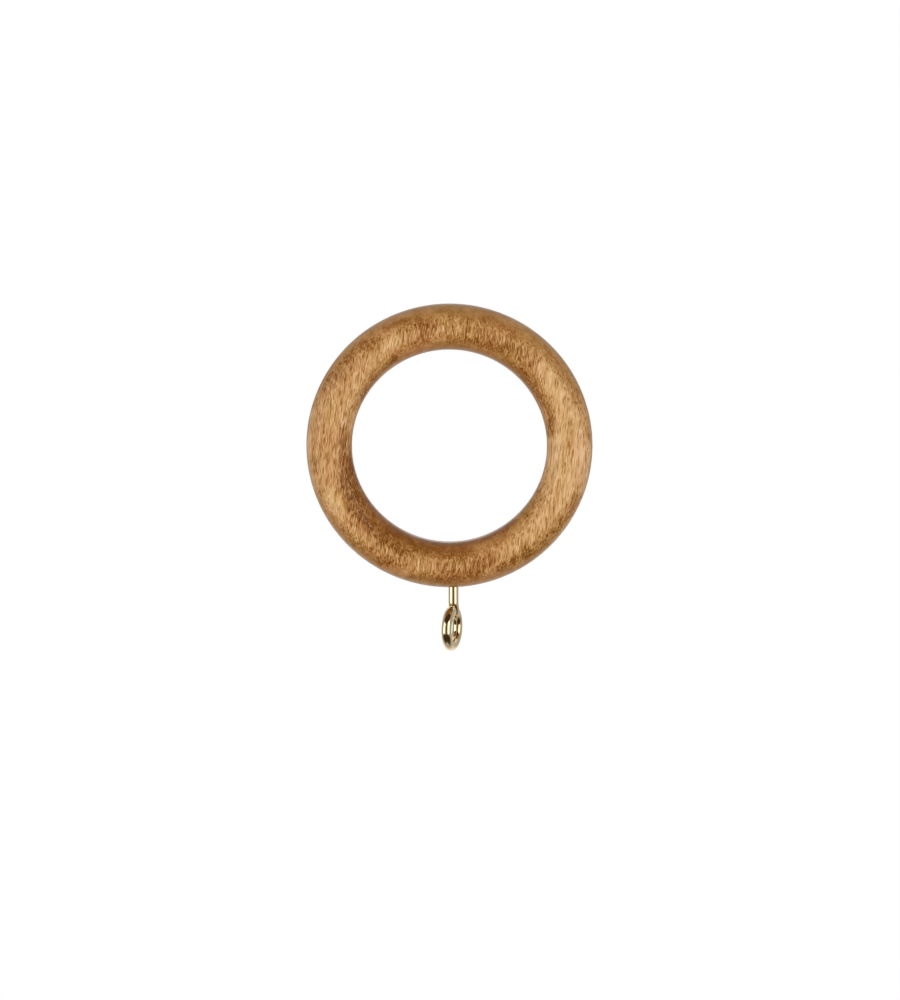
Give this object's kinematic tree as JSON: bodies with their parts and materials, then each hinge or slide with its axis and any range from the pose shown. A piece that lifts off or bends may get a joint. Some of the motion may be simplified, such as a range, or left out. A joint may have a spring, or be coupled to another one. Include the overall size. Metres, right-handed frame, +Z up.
{
  "type": "wooden curtain ring",
  "caption": "Turned wooden curtain ring with a round section and a brass wire screw eye under it for a curtain hook.",
  "frame": {"origin": "middle of the ring's bore, on the bore's axis and halfway through its thickness", "axes": "+Y along the bore, away from the face seen in the picture; +Z up, with the screw eye hanging towards -Z; +X to the right in the picture"},
  "size_m": [0.07, 0.0121, 0.0856],
  "materials": {
    "stained_wood": "golden brown stain under satin varnish",
    "brass_wire": "polished"
  },
  "bodies": {
    "root": {"curtain_ring": "stained_wood", "screw_eye": "brass_wire"}
  },
  "joints": []
}
